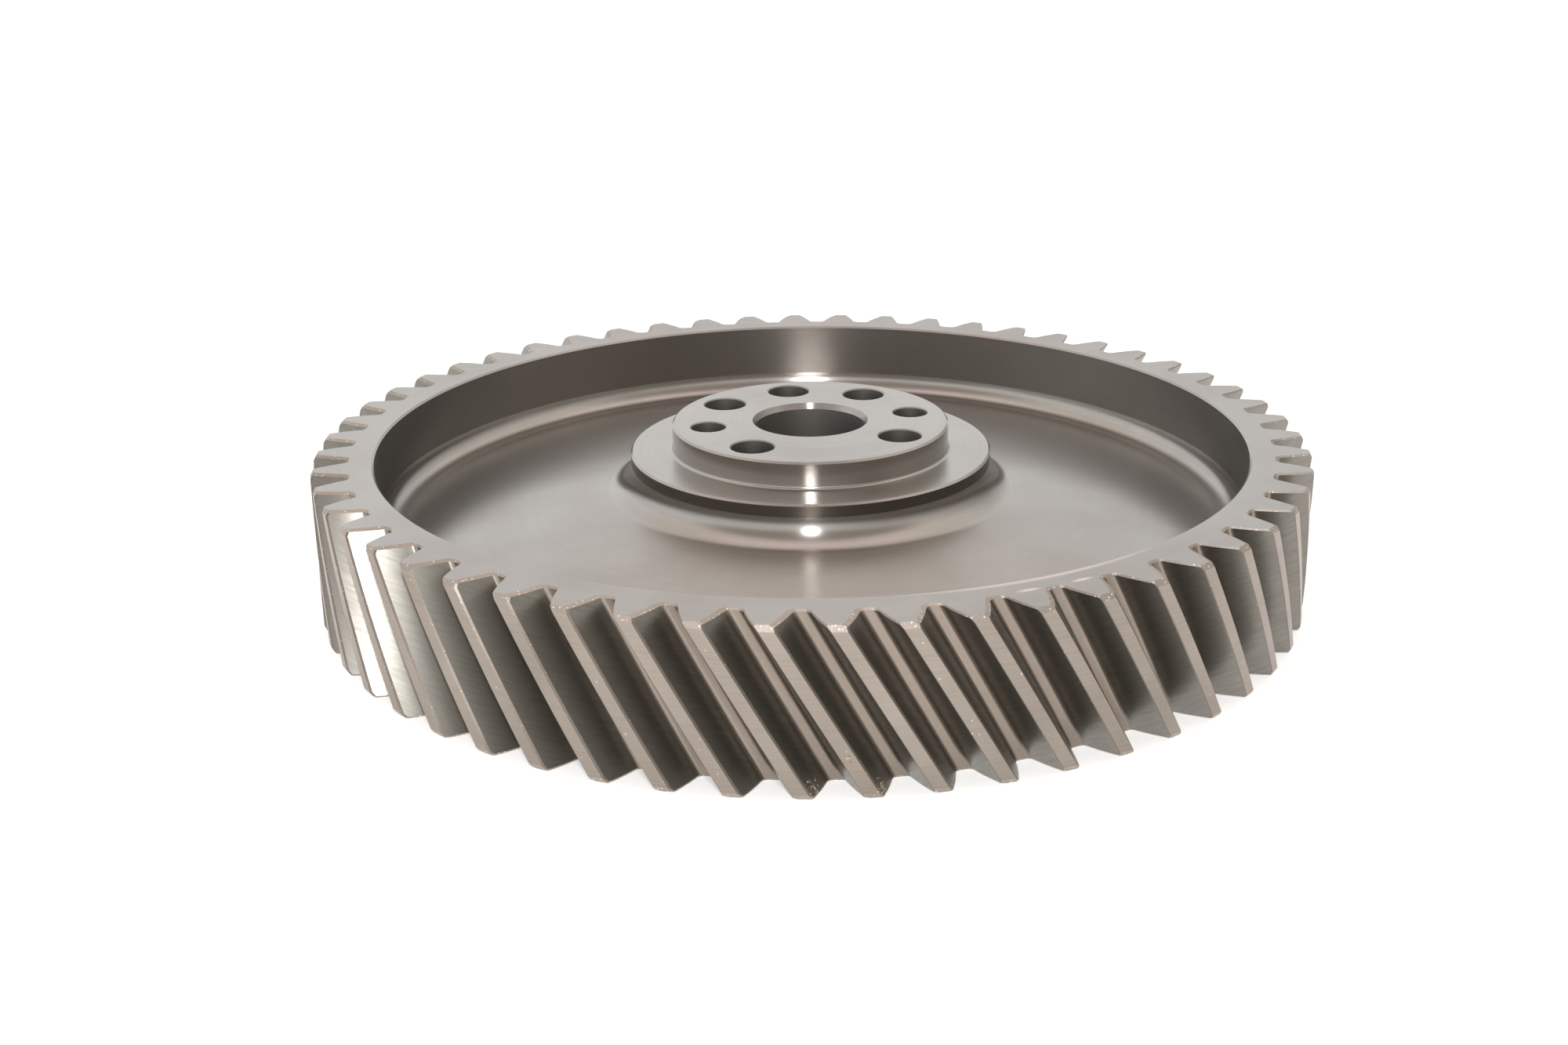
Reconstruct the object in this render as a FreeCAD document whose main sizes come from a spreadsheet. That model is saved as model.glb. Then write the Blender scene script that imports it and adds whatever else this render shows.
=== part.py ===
import FreeCAD, Part
import math
import os

import Sketcher

# Camshaft gear: one steel forging, turned all over, with hobbed left-hand helical teeth.
# A thin web hangs like a shallow cone between the toothed rim and the stepped hub, so the
# upper side is a deep dish. The hub carries a flange, a raised pilot and a bore with a
# lead-in, and seven holes on a circle of eight places. The eighth place is left undrilled.
# Millimetres, +Z along the axis. The origin is on the axis, in the back face that the gear
# lies on. Angles round the gear start at -Y and run towards +X.

LARGE_HOLE_PLACES = (1, 3, 4, 5, 7)
SMALL_HOLE_PLACES = (2, 6)

# Sketcher's numbers for the sketch axes and for the points of a piece of geometry.
H_AXIS, V_AXIS = -1, -2
START_POINT, CENTRE_POINT = 1, 3

SIZES = (
    ("teeth_count", 54, "helical teeth, left hand"),
    ("normal_module", 4.0, "module in the section square to a tooth"),
    ("pressure_angle", 20.0, "degrees, square to a tooth"),
    ("helix_angle", 29.5, "degrees, at the pitch circle"),
    ("addendum_factor", 1.0, "tooth height over the pitch circle, in modules"),
    ("dedendum_factor", 1.25, "tooth depth under the pitch circle, in modules"),
    ("root_radius", 1.4, "fillet between a flank and the root"),
    ("face_width", 39.5, "rim, from the back face to the upper face"),
    ("end_chamfer", 1.3, "45 degree chamfer across the tooth ends"),
    ("rim_bore_diameter", 225.0, "inside of the rim"),
    ("rim_fillet", 5.5, "between the web and the rim, upper side"),
    ("web_slope", 8.0, "degrees that the web falls from the hub to the rim"),
    ("web_height", 27.3, "upper side of the web where it meets the hub"),
    ("web_thickness", 11.0, "measured along the axis"),
    ("hub_fillet", 7.0, "between the web and the hub, upper side"),
    ("back_fillet", 4.0, "both corners of the shallow recess in the back"),
    ("back_hub_diameter", 92.0, "hub face in the back"),
    ("flange_diameter", 94.0, "hub flange"),
    ("flange_height", 36.7, "upper side of the flange"),
    ("pilot_diameter", 72.0, "raised pilot on the flange"),
    ("pilot_length", 7.0, "step from the flange to the top of the pilot"),
    ("bore_diameter", 28.5, "through the hub"),
    ("lead_in_width", 0.8, "lead-in at the top of the bore, across"),
    ("lead_in_depth", 1.5, "lead-in at the top of the bore, down"),
    ("edge_break", 0.5, "chamfer on the turned corners"),
    ("hole_circle_diameter", 54.0, "circle that the hub holes lie on"),
    ("hole_places", 8, "equal places on that circle, the first one left undrilled"),
    ("large_hole_diameter", 11.0, "five bolt holes"),
    ("small_hole_diameter", 9.0, "two smaller holes, opposite each other"),
)

# Sizes that follow from the ones above, as formulas of the sheet.
DERIVED = (
    ("pitch_radius", "=normal_module * teeth_count / 2 / cos(helix_angle)"),
    ("tip_radius", "=pitch_radius + addendum_factor * normal_module"),
    ("root_circle_radius", "=pitch_radius - dedendum_factor * normal_module"),
    ("pilot_height", "=flange_height + pilot_length"),
    ("web_fall", "=tan(web_slope)"),
)


def make_sheet(doc):
    """The spreadsheet of driving sizes: alias, value and note, one to a row."""
    sheet = doc.addObject("Spreadsheet::Sheet", "Sizes")
    row = 1
    for alias, value, note in SIZES:
        sheet.set(f"A{row}", alias)
        sheet.set(f"B{row}", str(value))
        sheet.set(f"C{row}", note)
        sheet.setAlias(f"B{row}", alias)
        row += 1
    for alias, formula in DERIVED:
        sheet.set(f"A{row}", alias)
        sheet.set(f"B{row}", formula)
        sheet.setAlias(f"B{row}", alias)
        row += 1
    doc.recompute()
    return sheet


def plane_of(body, role):
    """One of the body's own origin planes, such as XZ_Plane."""
    return next(f for f in body.Origin.OriginFeatures if f.Role == role)


def new_sketch(body, name, role):
    """An empty sketch on an origin plane of the body."""
    sketch = body.newObject("Sketcher::SketchObject", name)
    sketch.AttachmentSupport = [(plane_of(body, role), "")]
    sketch.MapMode = "FlatFace"
    return sketch


def fix_point(sketch, geometry, point, across, up):
    """Fixes one point of a sketch at two formulas of the sheet, on an axis where one is zero."""
    for kind, formula, axis in (("DistanceX", across, V_AXIS), ("DistanceY", up, H_AXIS)):
        value = float(sketch.evalExpression(formula))
        if abs(value) < 1e-9:
            sketch.addConstraint(Sketcher.Constraint("PointOnObject", geometry, point, axis))
            continue
        index = sketch.addConstraint(Sketcher.Constraint(kind, -1, 1, geometry, point, value))
        sketch.setExpression(f"Constraints[{index}]", formula)


def draw_outline(sketch, corners):
    """A closed outline through corners given as formulas: across, up and any rounding radius."""
    points = [
        FreeCAD.Vector(*(float(sketch.evalExpression(f)) for f in corner[:2]), 0)
        for corner in corners
    ]
    count = len(points)
    for i in range(count):
        sketch.addGeometry(Part.LineSegment(points[i], points[(i + 1) % count]), False)
    for i in range(count):
        sketch.addConstraint(Sketcher.Constraint("Coincident", i, 2, (i + 1) % count, 1))
    for i, (across, up, *_) in enumerate(corners):
        fix_point(sketch, i, START_POINT, across, up)
    for i, (_, _, *radius) in enumerate(corners):
        if radius:
            round_corner(sketch, i, radius[0])


def round_corner(sketch, line, formula):
    """Rounds the corner where a line starts, and keeps the sharp corner as a fixed point."""
    radius = float(sketch.evalExpression(formula))
    arc = sketch.GeometryCount
    sketch.fillet(line, START_POINT, radius, True, True)
    index = sketch.addConstraint(Sketcher.Constraint("Radius", arc, radius))
    sketch.setExpression(f"Constraints[{index}]", formula)


def blank_corners():
    """Half section of the turned blank, from the bore outwards and back over the upper side."""
    bore = "Sizes.bore_diameter / 2"
    back_hub = "Sizes.back_hub_diameter / 2"
    flange = "Sizes.flange_diameter / 2"
    pilot = "Sizes.pilot_diameter / 2"
    rim = "Sizes.rim_bore_diameter / 2"
    tip = "Sizes.tip_radius"
    width = "Sizes.face_width"

    def web_top(radius):
        return f"Sizes.web_height - ({radius} - {flange}) * Sizes.web_fall"

    def web_bottom(radius):
        return f"{web_top(radius)} - Sizes.web_thickness"

    return (
        (f"{bore} + Sizes.edge_break", "0"),
        (back_hub, "0"),
        (back_hub, web_bottom(back_hub), "Sizes.back_fillet"),
        (rim, web_bottom(rim), "Sizes.back_fillet"),
        (rim, "0"),
        (f"{tip} - Sizes.end_chamfer", "0"),
        (tip, "Sizes.end_chamfer"),
        (tip, f"{width} - Sizes.end_chamfer"),
        (f"{tip} - Sizes.end_chamfer", width),
        (rim, width),
        (rim, web_top(rim), "Sizes.rim_fillet"),
        (flange, web_top(flange), "Sizes.hub_fillet"),
        (flange, "Sizes.flange_height"),
        (pilot, "Sizes.flange_height", "Sizes.edge_break"),
        (pilot, "Sizes.pilot_height"),
        (f"{bore} + Sizes.lead_in_width", "Sizes.pilot_height"),
        (bore, "Sizes.pilot_height - Sizes.lead_in_depth"),
        (bore, "Sizes.edge_break"),
    )


def rings_at(shape, places):
    """Names of the full circles round the axis at the given (radius, height) places."""
    names = []
    for radius, height in places:
        for i, edge in enumerate(shape.Edges, 1):
            curve = edge.Curve
            if not isinstance(curve, Part.Circle):
                continue
            on_axis = math.hypot(curve.Center.x, curve.Center.y) < 1e-6
            here = abs(curve.Radius - radius) < 1e-4 and abs(curve.Center.z - height) < 1e-4
            if on_axis and here:
                names.append(f"Edge{i}")
                break
        else:
            raise RuntimeError(f"no corner at radius {radius:.3f}, height {height:.3f}")
    return names


def break_edges(body, places):
    """Chamfers the turned corners of the body at these (radius, height) places."""
    base = body.Tip
    chamfer = body.newObject("PartDesign::Chamfer", "EdgeBreaks")
    chamfer.Base = (base, rings_at(base.Shape, places))
    chamfer.setExpression("Size", "Sizes.edge_break")
    body.Document.recompute()


def make_blank(doc, sheet):
    """The turned blank with its dish, hub and drilled holes, before the teeth are cut."""
    body = doc.addObject("PartDesign::Body", "TurnedBlank")
    section = new_sketch(body, "BlankSection", "XZ_Plane")
    draw_outline(section, blank_corners())
    doc.recompute()
    turned = body.newObject("PartDesign::Revolution", "Turned")
    turned.Profile = section
    turned.ReferenceAxis = (section, ["V_Axis"])
    turned.Angle = 360.0
    doc.recompute()

    corners = [
        tuple(float(sheet.evalExpression(formula)) for formula in corner[:2])
        for corner in blank_corners()
    ]
    back_hub_edge, back_rim_edge = corners[1], corners[4]
    rim_edge, flange_edge, pilot_edge = corners[9], corners[12], corners[14]
    break_edges(body, [back_hub_edge, back_rim_edge, rim_edge, flange_edge, pilot_edge])
    drill(body, "LargeHoles", LARGE_HOLE_PLACES, "Sizes.large_hole_diameter")
    drill(body, "SmallHoles", SMALL_HOLE_PLACES, "Sizes.small_hole_diameter")
    return body


def drill(body, name, places, diameter):
    """Through holes in the hub at some of the equal places on the hole circle."""
    before = body.Shape.Volume
    sketch = new_sketch(body, f"{name}Layout", "XY_Plane")
    for i, place in enumerate(places):
        turn = f"{place} * 360 / Sizes.hole_places"
        across = f"Sizes.hole_circle_diameter / 2 * sin({turn})"
        up = f"0 - Sizes.hole_circle_diameter / 2 * cos({turn})"
        centre = [float(sketch.evalExpression(f)) for f in (across, up)]
        radius = float(sketch.evalExpression(diameter)) / 2
        circle = Part.Circle(FreeCAD.Vector(*centre, 0), FreeCAD.Vector(0, 0, 1), radius)
        sketch.addGeometry(circle, False)
        size = sketch.addConstraint(Sketcher.Constraint("Diameter", i, 2 * radius))
        sketch.setExpression(f"Constraints[{size}]", diameter)
        fix_point(sketch, i, CENTRE_POINT, across, up)
    body.Document.recompute()
    pocket = body.newObject("PartDesign::Pocket", name)
    pocket.Profile = sketch
    pocket.Type = "ThroughAll"
    pocket.Midplane = True
    body.Document.recompute()
    if not body.Shape.Volume < before - 1.0:
        raise RuntimeError(f"{name} removed nothing")


class ToothSpace:
    """The space between two teeth, from the involute of the transverse section."""

    FLANK_POINTS = 5  # points that the spline of one flank passes through
    TURNED_SECTIONS = 5  # sections that the helical walls pass through
    OVERRUN = 1.0  # the cutter runs past both faces and past the tooth tips

    def __init__(self, sheet):
        self.teeth = int(round(sheet.teeth_count))
        self.width = float(sheet.face_width)
        self.fillet = float(sheet.root_radius)
        self.root = float(sheet.root_circle_radius)
        self.outside = float(sheet.tip_radius) + self.OVERRUN
        helix = math.radians(float(sheet.helix_angle))
        normal_pressure = math.radians(float(sheet.pressure_angle))
        self.pressure = math.atan(math.tan(normal_pressure) / math.cos(helix))
        pitch = float(sheet.pitch_radius)
        self.base = pitch * math.cos(self.pressure)
        self.turn_per_mm = math.tan(helix) / pitch
        half_tooth = math.pi / (2 * self.teeth)
        involute_at_pitch = math.tan(self.pressure) - self.pressure
        # Half angle of the space where its flanks would meet the base circle.
        self.start_angle = math.pi / self.teeth - half_tooth - involute_at_pitch

    def on_flank(self, unwound):
        """The point of the flank where this length of string has left the base circle."""
        radius = math.hypot(self.base, unwound)
        angle = self.start_angle + unwound / self.base - math.atan(unwound / self.base)
        return polar(radius, angle)

    def flank(self):
        """Points up one flank, from the end of its root fillet to past the tip."""
        lowest = self.fillet_centre()[1]
        highest = math.sqrt(self.outside**2 - self.base**2)
        steps = [i / (self.FLANK_POINTS - 1) for i in range(self.FLANK_POINTS)]
        return [self.on_flank(lowest + (highest - lowest) * step) for step in steps]

    def fillet_centre(self):
        """Centre of the root fillet, and the string length where it leaves the flank.

        A line square to an involute touches the base circle, so the centre lies on the same
        line as the tangent point, one fillet radius further out.
        """
        radius = self.root + self.fillet
        unwound = math.sqrt(radius**2 - self.base**2)
        angle = self.start_angle + (unwound - self.fillet) / self.base
        angle -= math.atan(unwound / self.base)
        return polar(radius, angle), unwound - self.fillet

    def section(self):
        """Closed outline of the space in the plane of the back face, centred on -Y."""
        flank = self.flank()
        centre = self.fillet_centre()[0]
        on_root = centre * (self.root / centre.Length)
        away = (flank[0] - centre).normalize() + (on_root - centre).normalize()
        on_fillet = centre + away.normalize() * self.fillet

        spline = Part.BSplineCurve()
        spline.interpolate(flank)
        fillet = Part.Arc(on_root, on_fillet, flank[0])
        root = Part.Arc(mirrored(on_root), polar(self.root, 0.0), on_root)
        lid = Part.Arc(flank[-1], polar(self.outside, 0.0), mirrored(flank[-1]))
        other_spline = Part.BSplineCurve()
        other_spline.interpolate([mirrored(point) for point in reversed(flank)])
        other_fillet = Part.Arc(mirrored(flank[0]), mirrored(on_fillet), mirrored(on_root))
        pieces = (root, fillet, spline, lid, other_spline, other_fillet)
        return Part.Wire([piece.toShape() for piece in pieces])

    def solid(self):
        """The cutter for one tooth space: its section carried up the left-hand helix."""
        section = self.section()
        sections = []
        span = self.width + 2 * self.OVERRUN
        half_pitch = 180.0 / self.teeth
        for i in range(self.TURNED_SECTIONS):
            height = span * i / (self.TURNED_SECTIONS - 1) - self.OVERRUN
            turned = section.copy()
            angle = half_pitch - math.degrees(height * self.turn_per_mm)
            turned.rotate(FreeCAD.Vector(), FreeCAD.Vector(0, 0, 1), angle)
            turned.translate(FreeCAD.Vector(0, 0, height))
            sections.append(turned)
        return Part.makeLoft(sections, True, False)


def polar(radius, angle):
    """A point in the XY plane, its angle in radians from -Y towards +X."""
    return FreeCAD.Vector(radius * math.sin(angle), -radius * math.cos(angle), 0)


def mirrored(point):
    """The same point on the other side of the YZ plane."""
    return FreeCAD.Vector(-point.x, point.y, point.z)


def make_tooth_spaces(doc, sheet):
    """All the tooth spaces, the first pair of them on either side of a tooth at -Y."""
    space = ToothSpace(sheet)
    one = space.solid()
    copies = []
    for i in range(space.teeth):
        copy = one.copy()
        copy.rotate(FreeCAD.Vector(), FreeCAD.Vector(0, 0, 1), 360.0 * i / space.teeth)
        copies.append(copy)
    spaces = doc.addObject("Part::Feature", "ToothSpaces")
    spaces.Shape = Part.makeCompound(copies)
    return spaces


def make_gear(doc, blank, spaces):
    """The finished gear: the turned blank less every tooth space."""
    gear = doc.addObject("Part::Cut", "CamshaftGear")
    gear.Base = blank
    gear.Tool = spaces
    gear.Label = "camshaft_gear"
    gear.Placement = FreeCAD.Placement()
    doc.recompute()
    return gear


def check(doc, parts):
    """Stops before anything is written if an object failed or a part is not one sound solid."""
    failed = [o.Name for o in doc.Objects if {"Invalid", "Error"} & set(o.State)]
    if failed:
        raise RuntimeError(f"failed objects: {failed}")
    for part in parts:
        shape = part.Shape
        if shape.isNull() or not shape.isValid() or len(shape.Solids) != 1:
            raise RuntimeError(f"{part.Label} is not one valid solid")


def main():
    """Builds the gear and writes its solid."""
    doc = FreeCAD.newDocument("CamshaftGear")
    sheet = make_sheet(doc)
    blank = make_blank(doc, sheet)
    spaces = make_tooth_spaces(doc, sheet)
    gear = make_gear(doc, blank, spaces)
    check(doc, [gear])
    os.makedirs("parts", exist_ok=True)
    gear.Shape.Solids[0].exportStep(f"parts/{gear.Label}.step")
    print(f"{gear.Label}: {gear.Shape.Volume / 1000:.1f} cm3")


main()
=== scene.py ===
"""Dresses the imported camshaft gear: finer teeth, broken edges, machined steel, floor, light and camera.

The gear is one steel forging, turned all over, with hobbed left-hand helical teeth. It lies on its
back face with the dished side up. Lengths of the gear and its finishes are in millimetres until it
is done, and those of the studio and the camera are in metres.
"""

import logging
import math
from dataclasses import dataclass, field
from enum import Enum

import bmesh
import bpy
from mathutils import Matrix, Vector


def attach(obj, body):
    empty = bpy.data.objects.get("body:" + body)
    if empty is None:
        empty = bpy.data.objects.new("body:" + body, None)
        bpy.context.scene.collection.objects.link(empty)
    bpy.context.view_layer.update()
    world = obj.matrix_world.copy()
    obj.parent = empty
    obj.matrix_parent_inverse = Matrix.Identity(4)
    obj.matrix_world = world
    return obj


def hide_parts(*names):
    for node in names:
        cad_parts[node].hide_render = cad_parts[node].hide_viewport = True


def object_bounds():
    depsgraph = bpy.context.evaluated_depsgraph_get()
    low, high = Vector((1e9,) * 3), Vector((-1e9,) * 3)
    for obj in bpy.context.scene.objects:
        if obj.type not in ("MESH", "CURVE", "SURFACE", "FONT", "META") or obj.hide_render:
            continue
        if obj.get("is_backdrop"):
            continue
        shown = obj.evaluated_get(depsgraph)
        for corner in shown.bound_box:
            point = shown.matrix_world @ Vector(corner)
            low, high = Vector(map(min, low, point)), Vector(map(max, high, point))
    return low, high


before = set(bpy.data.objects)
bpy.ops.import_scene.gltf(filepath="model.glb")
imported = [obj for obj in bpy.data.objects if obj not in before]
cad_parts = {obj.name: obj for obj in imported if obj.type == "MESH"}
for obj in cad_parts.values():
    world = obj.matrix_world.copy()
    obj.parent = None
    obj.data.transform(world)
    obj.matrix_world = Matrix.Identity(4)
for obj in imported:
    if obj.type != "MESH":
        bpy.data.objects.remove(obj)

MM = 0.001
GEAR_NODE = "camshaft_gear"
BODY = "root"
ORIGIN = Vector((0.0, 0.0, 0.0))

Piece = bpy.types.Object
Material = bpy.types.Material
Tree = bpy.types.NodeTree
Socket = bpy.types.NodeSocket

log = logging.getLogger("camshaft_gear")


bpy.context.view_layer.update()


class Surface(Enum):
    """How a stretch of the gear's skin was made."""

    TURNED = "turned_steel"
    BORED = "bored_walls_painted_shade"
    FINE_TURNED = "fine_turned_hub"
    FLANGE_EDGE = "flange_edge_painted_shade"
    HOBBED = "hobbed_steel"
    ROOT = "hobbed_roots"
    LAND = "turned_tooth_tips"
    TIP_EDGE = "deburred_tip_edges"
    DRILLED = "drilled_steel"
    BROKEN_EDGE = "deburred_edges"


def polar(radius: float, angle: float) -> Vector:
    """A point in the XY plane, its angle in radians from -Y towards +X."""
    return Vector((radius * math.sin(angle), -radius * math.cos(angle), 0.0))


def linear(hex_colour: str) -> tuple[float, float, float, float]:
    """Turns an sRGB colour into the linear one that shaders take.

    Args:
        hex_colour: six hex digits, such as "998e86".

    Returns:
        Linear red, green and blue, and an alpha of 1.
    """
    parts = [int(hex_colour[i : i + 2], 16) / 255 for i in (0, 2, 4)]
    made = [p / 12.92 if p <= 0.04045 else ((p + 0.055) / 1.055) ** 2.4 for p in parts]
    return (*made, 1.0)


def only(piece: Piece) -> None:
    """Selects one piece alone and makes it active.

    Args:
        piece: the object to select.
    """
    bpy.ops.object.select_all(action="DESELECT")
    piece.select_set(True)
    bpy.context.view_layer.objects.active = piece


def add_node(tree: Tree, kind: str, links: dict | None = None, **settings: object) -> bpy.types.Node:
    """Adds one node with its settings and links.

    Args:
        tree: the node tree it goes into.
        kind: Blender's name of the node's type.
        links: input socket to either a number or colour, or to an output socket to link. A Mix
            node's share is socket 0, its two numbers are 2 and 3, and its two colours 6 and 7.
        settings: properties of the node.

    Returns:
        The new node.
    """
    node = tree.nodes.new(kind)
    for name, value in settings.items():
        setattr(node, name, value)
    for socket, value in (links or {}).items():
        if isinstance(value, Socket):
            tree.links.new(value, node.inputs[socket])
        else:
            node.inputs[socket].default_value = value
    return node


def round_corners(
    corners: list[tuple[float, ...]], step: float = 9.0, support: float = 0.5
) -> list[tuple[float, float]]:
    """Turns an outline's sharp corners into arcs, and keeps its straight runs flat.

    Args:
        corners: (radius, height) or (radius, height, rounding) in order along the outline.
        step: largest angle between two points of an arc, in degrees.
        support: distance from each end of a long straight run at which it gets a point of its
            own, so that a neighbouring arc's shading ends there.

    Returns:
        The points of the finished outline.
    """
    runs: list[list[Vector]] = []
    for i, (radius, height, *rounding) in enumerate(corners):
        here = Vector((radius, height))
        if not rounding:
            runs.append([here])
            continue
        before = (Vector(corners[i - 1][:2]) - here).normalized()
        after = (Vector(corners[i + 1][:2]) - here).normalized()
        half = before.angle(after) / 2
        centre = here + (before + after).normalized() * (rounding[0] / math.sin(half))
        first = here + before * (rounding[0] / math.tan(half)) - centre
        last = here + after * (rounding[0] / math.tan(half)) - centre
        turn = first.angle_signed(last)
        count = max(2, math.ceil(math.degrees(abs(turn)) / step))
        arc = []
        for k in range(count + 1):
            angle = -turn * k / count
            arc.append(centre + Matrix.Rotation(angle, 2) @ first)
        runs.append(arc)
    points = list(runs[0])
    for run in runs[1:]:
        start, end = points[-1], run[0]
        length = (end - start).length
        # A shorter run has no flat middle to keep.
        if length > 4 * support:
            points.append(start.lerp(end, support / length))
            points.append(end.lerp(start, support / length))
        points.extend(run)
    return [(point.x, point.y) for point in points]


def turn_shell(
    name: str,
    outline: list[tuple[float, float]],
    material: Material,
    centre: Vector = ORIGIN,
    segments: int = 216,
) -> Piece:
    """Grows a turned surface from one circle, ring by ring.

    Args:
        name: name of the new object.
        outline: (radius, height) of each ring.
        material: finish of all its faces.
        centre: where the axis stands.
        segments: points in a ring.

    Returns:
        The open shell, still to be joined to its neighbours.
    """
    radius, height = outline[0]
    place = centre + Vector((0.0, 0.0, height))
    bpy.ops.object.select_all(action="DESELECT")
    bpy.ops.mesh.primitive_circle_add(vertices=segments, radius=radius, location=place)
    shell = bpy.context.object
    shell.name = name
    bpy.ops.object.transform_apply(location=True, rotation=True, scale=True)
    bpy.ops.object.mode_set(mode="EDIT")
    bpy.ops.mesh.select_all(action="SELECT")
    for next_radius, next_height in outline[1:]:
        rise = (0.0, 0.0, next_height - height)
        bpy.ops.mesh.extrude_edges_move(TRANSFORM_OT_translate={"value": rise})
        scale = next_radius / radius
        bpy.ops.transform.resize(value=(scale, scale, 1.0), center_override=centre)
        radius, height = next_radius, next_height
    bpy.ops.object.mode_set(mode="OBJECT")
    shell.data.materials.append(material)
    return shell


@dataclass
class ToothForm:
    """The helical teeth, from the involute of their transverse section.

    The bevels run along the tips of the teeth, the breaks run round the ends of the tooth spaces.
    Angles are in degrees.
    """

    teeth: int = 54
    normal_module: float = 4.0
    pressure_angle: float = 20.0
    helix_angle: float = 29.5
    addendum: float = 4.0
    dedendum: float = 5.0
    root_radius: float = 1.4
    width: float = 39.5
    end_chamfer: float = 1.3
    end_chamfer_depth: float = 0.8
    left_bevel: float = 0.2
    right_bevel: float = 0.45
    narrow_break: float = 0.4
    wide_break: float = 0.85
    break_depth: float = 0.45
    fillet_steps: int = 6
    flank_steps: int = 5
    land_steps: int = 2
    helix_steps: int = 9

    def __post_init__(self) -> None:
        """Works out the transverse sizes that the outlines share."""
        helix = math.radians(self.helix_angle)
        pressure = math.atan(math.tan(math.radians(self.pressure_angle)) / math.cos(helix))
        self.pitch_radius: float = self.normal_module * self.teeth / 2 / math.cos(helix)
        self.tip: float = self.pitch_radius + self.addendum
        self.root: float = self.pitch_radius - self.dedendum
        self.base: float = self.pitch_radius * math.cos(pressure)
        self.turn_per_mm: float = math.tan(helix) / self.pitch_radius
        self.half_pitch: float = math.pi / self.teeth
        self.start_angle: float = self.half_pitch / 2 - (math.tan(pressure) - pressure)

    def half_outline(
        self, tip: float, bevel: float, root_break: float, flank_break: float
    ) -> list[Vector]:
        """One side of a tooth space, from its middle to the middle of the next tooth's land.

        A line square to an involute touches the base circle, so an outline set back by the width
        of a broken edge is the same involute from a later start, about the same fillet centre.

        Args:
            tip: radius that the tooth reaches here.
            bevel: how far the tip's long edge is taken back, both ways.
            root_break: how far the root is set back into the steel.
            flank_break: how far the flank is set back into the steel.

        Returns:
            Points in the transverse plane, the space's middle on -Y.
        """
        centre_radius = self.root + self.root_radius
        string = math.sqrt(centre_radius**2 - self.base**2)
        centre_angle = self.start_angle + (string - self.root_radius) / self.base
        centre_angle -= math.atan(string / self.base)
        centre = polar(centre_radius, centre_angle)

        start = self.start_angle + flank_break / self.base
        lowest = string - self.root_radius - flank_break

        def on_flank(unwound: float) -> Vector:
            """The involute's point at which this much of its string is unwound."""
            swung = start + unwound / self.base - math.atan(unwound / self.base)
            return polar(math.hypot(self.base, unwound), swung)

        points = [polar(self.root - root_break, 0.0)]
        to_root = -centre.normalized()
        to_flank = (on_flank(lowest) - centre).normalized()
        bend = to_root.angle(to_flank)
        for i in range(self.fillet_steps + 1):
            share = i / self.fillet_steps
            spoke = Matrix.Rotation(-bend * share, 3, "Z") @ to_root
            reach = self.root_radius + root_break + (flank_break - root_break) * share
            points.append(centre + spoke * reach)
        highest = math.sqrt((tip - bevel) ** 2 - self.base**2)
        for i in range(1, self.flank_steps + 1):
            points.append(on_flank(lowest + (highest - lowest) * i / self.flank_steps))
        shoulder = points[-1]
        edge = math.atan2(shoulder.x, -shoulder.y) + bevel / tip
        for i in range(self.land_steps + 1):
            share = i / self.land_steps
            points.append(polar(tip, edge + (self.half_pitch - edge) * share))
        return points

    def outline(self, tip: float, left_break: float, right_break: float) -> list[Vector]:
        """A whole tooth between the middles of its two spaces, the tooth centred on -Y.

        Args:
            tip: radius that the tooth reaches here.
            left_break: how far the flank on the -X side is set back.
            right_break: how far the flank on the +X side is set back.

        Returns:
            Points in the transverse plane, from -X to +X.
        """
        root_break = min(left_break, right_break)
        to_tooth = Matrix.Rotation(-self.half_pitch, 3, "Z")
        left = self.half_outline(tip, self.left_bevel, root_break, left_break)
        right = self.half_outline(tip, self.right_bevel, root_break, right_break)
        left = [to_tooth @ p for p in left]
        right = [to_tooth @ p for p in right]
        mirrored = [Vector((-p.x, p.y, p.z)) for p in reversed(right)]
        return left + mirrored[1:]

    def rows(self) -> list[tuple[float, float, float, float]]:
        """The outlines that are stacked into a tooth, from the back face up.

        Returns:
            Height, tip radius and the set-backs of the left and the right flank of each.
        """
        short = self.tip - self.end_chamfer_depth
        broken = short + self.end_chamfer_depth * self.break_depth / self.end_chamfer
        start, end = self.end_chamfer, self.width - self.end_chamfer
        made = [
            (0.0, short, self.wide_break, self.narrow_break),
            (self.break_depth, broken, 0.0, 0.0),
        ]
        for i in range(self.helix_steps + 1):
            made.append((start + (end - start) * i / self.helix_steps, self.tip, 0.0, 0.0))
        made.append((self.width - self.break_depth, broken, 0.0, 0.0))
        made.append((self.width, short, self.narrow_break, self.wide_break))
        return made

    def surface_at(self, column: int, row: int) -> Surface:
        """How a face of the tooth was made.

        Args:
            column: the face's place from one space's middle over the tooth to the next's.
            row: the face's place from the back face up.

        Returns:
            The kind of surface.
        """
        rows = len(self.rows()) - 1
        bevel = 1 + self.fillet_steps + self.flank_steps
        columns = 2 * (bevel + 1 + self.land_steps)
        across = min(column, columns - 1 - column)
        if row in (0, rows - 1) or (across > bevel and row in (1, rows - 2)):
            return Surface.BROKEN_EDGE
        if across == bevel:
            return Surface.TIP_EDGE
        if across > bevel:
            return Surface.LAND
        return Surface.HOBBED if across > self.fillet_steps / 2 else Surface.ROOT


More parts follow.
